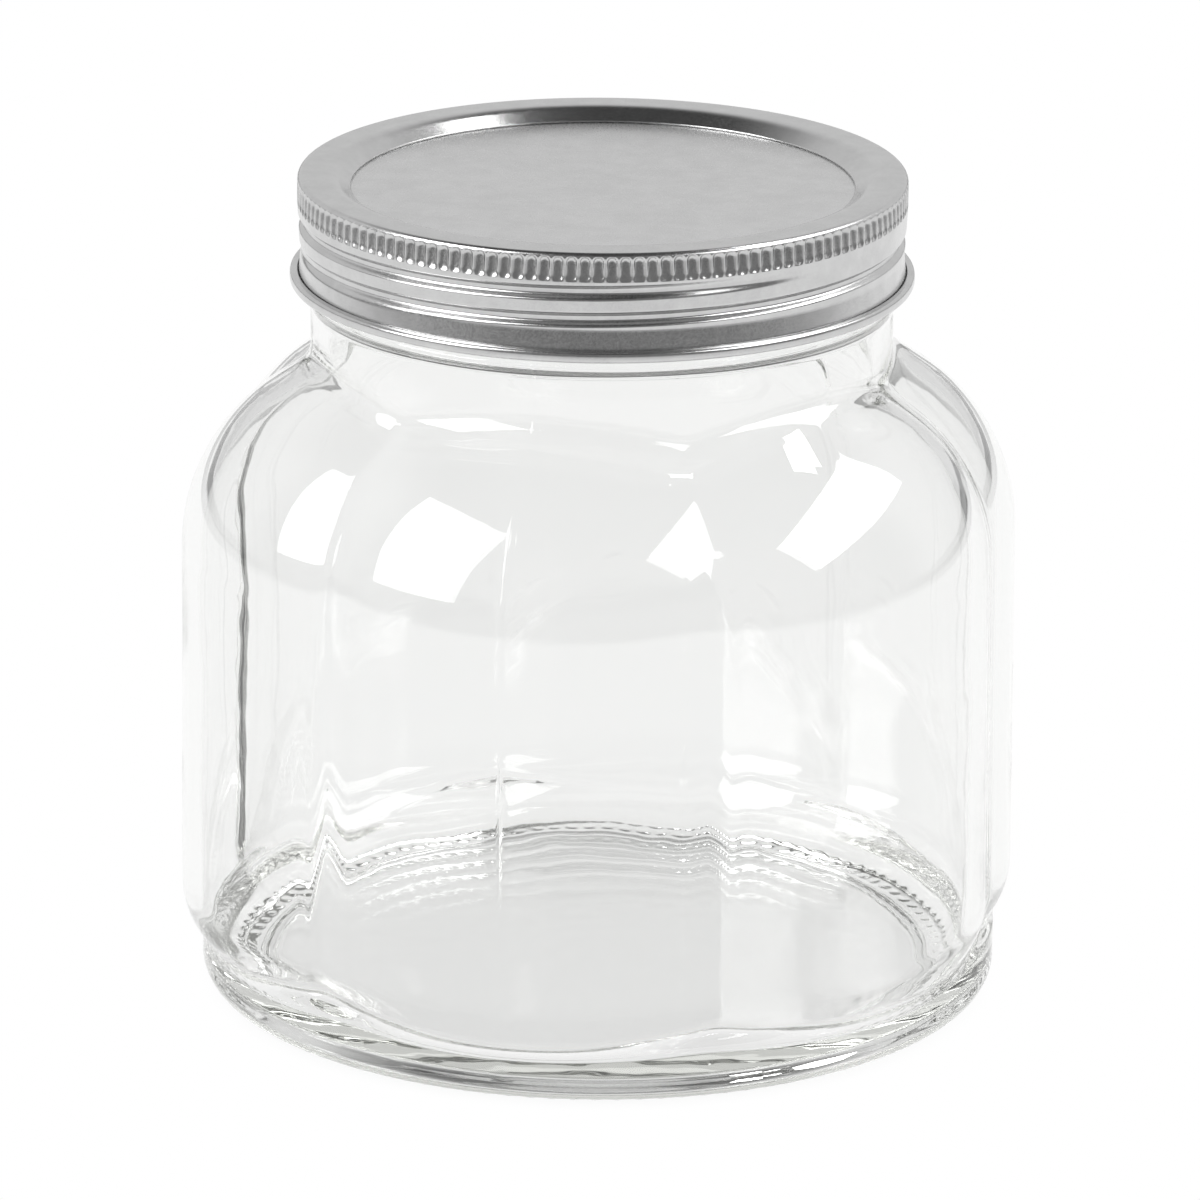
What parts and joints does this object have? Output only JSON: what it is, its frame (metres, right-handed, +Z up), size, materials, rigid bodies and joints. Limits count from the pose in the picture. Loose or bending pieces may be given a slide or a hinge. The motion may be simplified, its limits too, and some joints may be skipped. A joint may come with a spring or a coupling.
{
  "type": "mason jar",
  "caption": "Wide-mouth glass storage and canning jar with bulging lobes, a round foot and neck, and a two-piece metal screw closure.",
  "frame": {"origin": "centre of the foot, on the surface the jar stands on", "axes": "+Z up along the axis of the jar and its closure; one lobe faces -Y"},
  "size_m": [0.1518, 0.1586, 0.1553],
  "materials": {
    "flint_glass": "clear polished flint glass with a very faint green-grey tint in thick sections",
    "band_tinplate": "bright silver tinplate, satin on the skirt and flange, polished where it is bent",
    "disc_tinplate": "silver tinplate with a fine satin grain",
    "sealing_compound": "matte off-white plastisol"
  },
  "bodies": {
    "jar": {"glass_jar": "flint_glass"},
    "lid": {"lid_disc": "disc_tinplate", "sealing_ring": "sealing_compound"},
    "band": {"screw_band": "band_tinplate"}
  },
  "joints": [
    {"name": "closure_rise", "type": "slide", "parent": "jar", "child": "lid", "axis": [0, 0, 1], "range_m": [0, 0.02032]},
    {"name": "band_turn", "type": "hinge", "parent": "lid", "child": "band", "pos_m": [0, 0, 0.1453], "axis": [0, 0, 1], "range_deg": [0, 1440]}
  ],
  "couplings": [
    {"joint": "closure_rise", "follows": "band_turn", "m_per_rad": 0.00080851}
  ]
}
